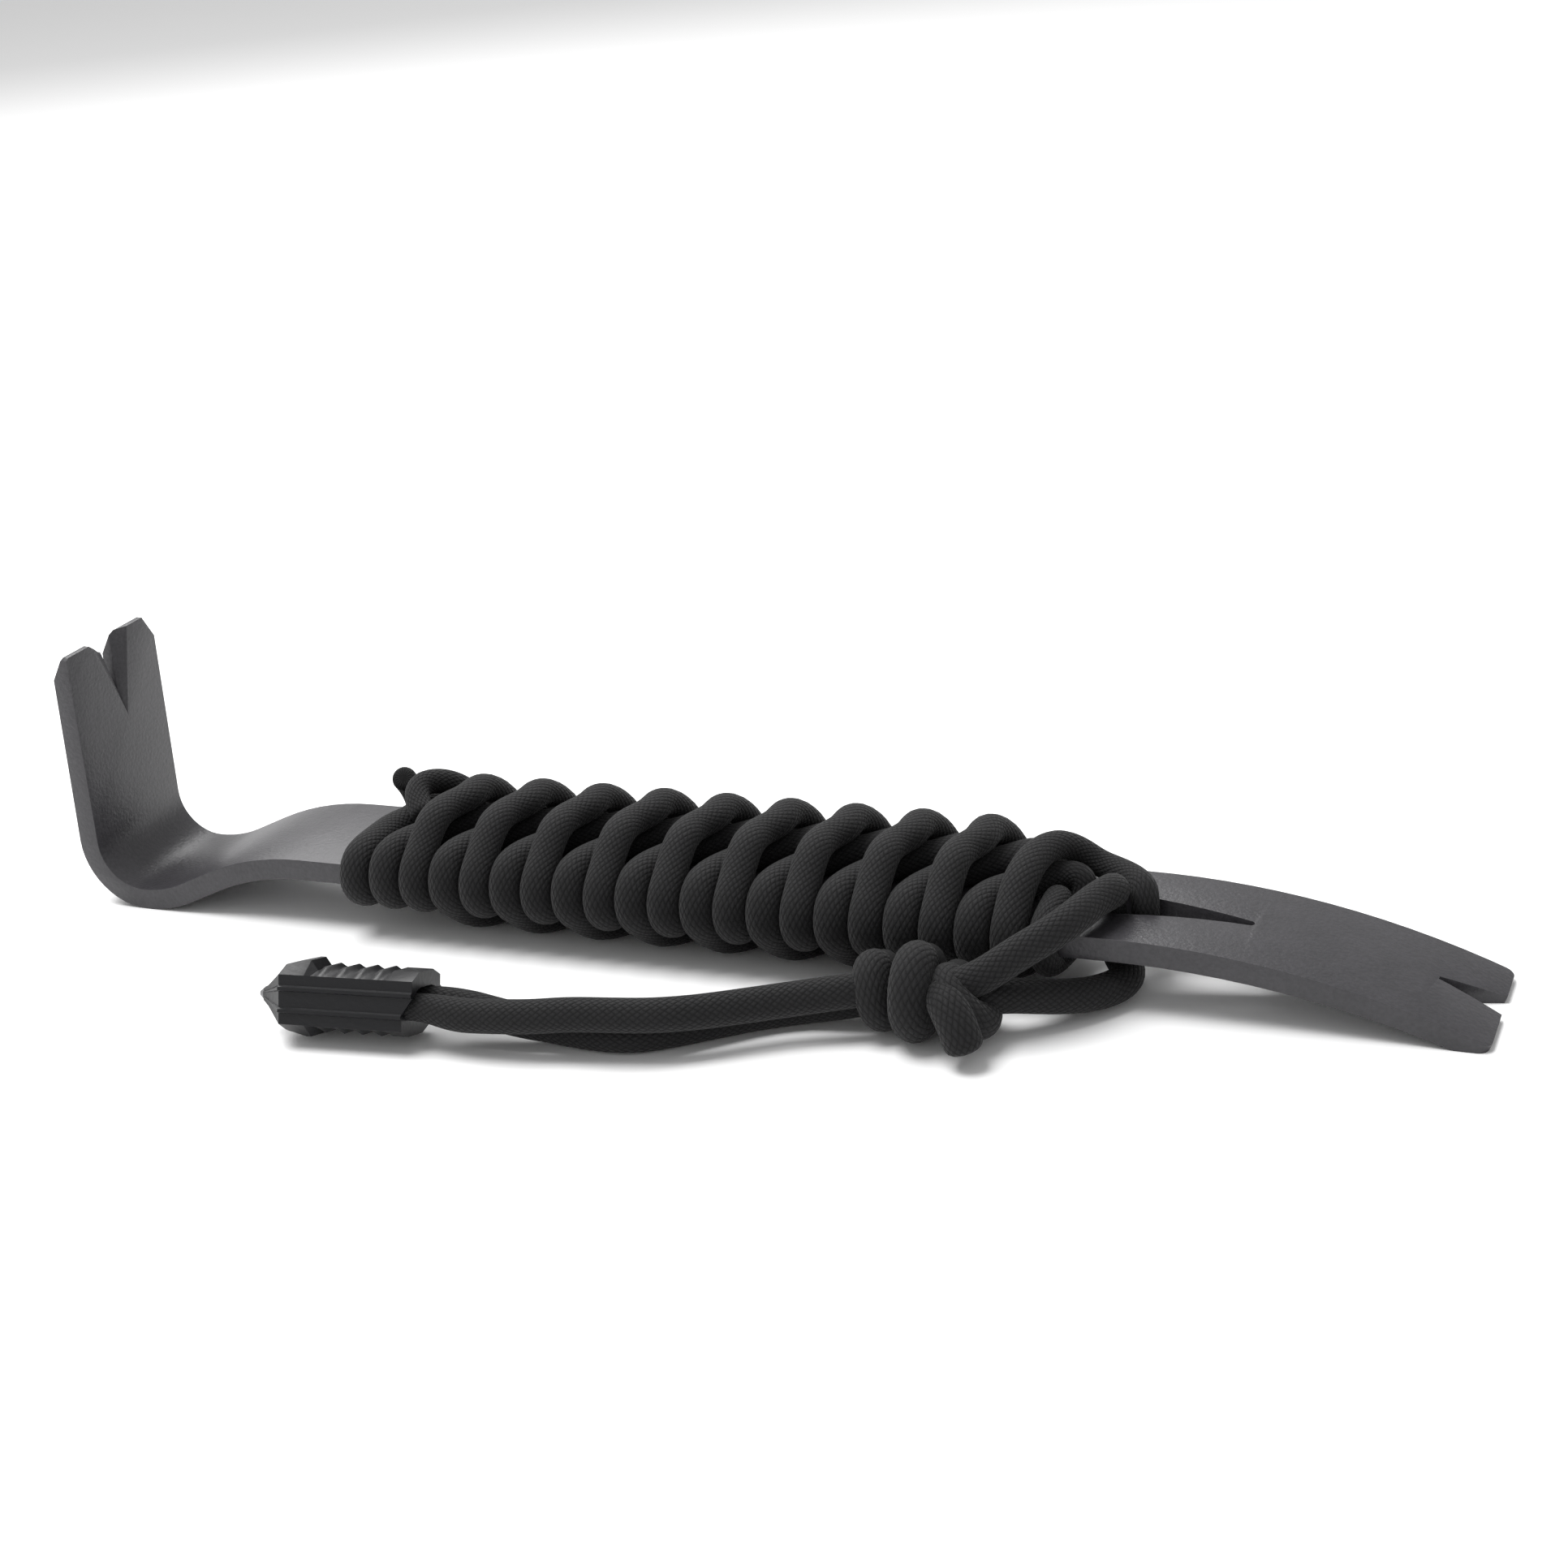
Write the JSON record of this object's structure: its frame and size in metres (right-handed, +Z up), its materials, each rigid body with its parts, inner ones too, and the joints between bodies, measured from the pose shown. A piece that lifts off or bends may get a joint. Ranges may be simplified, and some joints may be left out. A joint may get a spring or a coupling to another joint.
{
  "type": "pry bar",
  "caption": "Compact flat steel pry bar with an upright notched claw, a curved notched tip, a cord-wrapped handle and a knotted cord lanyard with a moulded end cap.",
  "frame": {"origin": "under the middle of the bar's length and width, on the surface the tool rests on", "axes": "+X along the bar from the claw to the curved tip, +Z up from the resting surface, +Y away from the lanyard's side"},
  "size_m": [0.1696, 0.0483, 0.0326],
  "materials": {
    "powder_coated_steel": "fine matte powder coat",
    "braided_cord": "tight braided sheath",
    "cap_plastic": "moulded, satin",
    "hard_point": "dark, ground"
  },
  "bodies": {
    "tool": {"pry_bar": "powder_coated_steel", "wrap_over_strand": "braided_cord", "wrap_under_strand": "braided_cord"},
    "lanyard": {"lanyard_loop": "braided_cord", "lanyard_knot": "braided_cord", "lanyard_tail_back": "braided_cord", "lanyard_tail_front": "braided_cord", "stopper_knot": "braided_cord", "cap_upper_shell": "cap_plastic", "cap_lower_shell": "cap_plastic", "cap_point": "hard_point"}
  },
  "joints": [
    {"name": "lanyard_swing", "type": "hinge", "parent": "tool", "child": "lanyard", "pos_m": [0.0444, -0.0002, 0.0074], "axis": [0, 0, 1], "range_deg": [0, 15]}
  ]
}
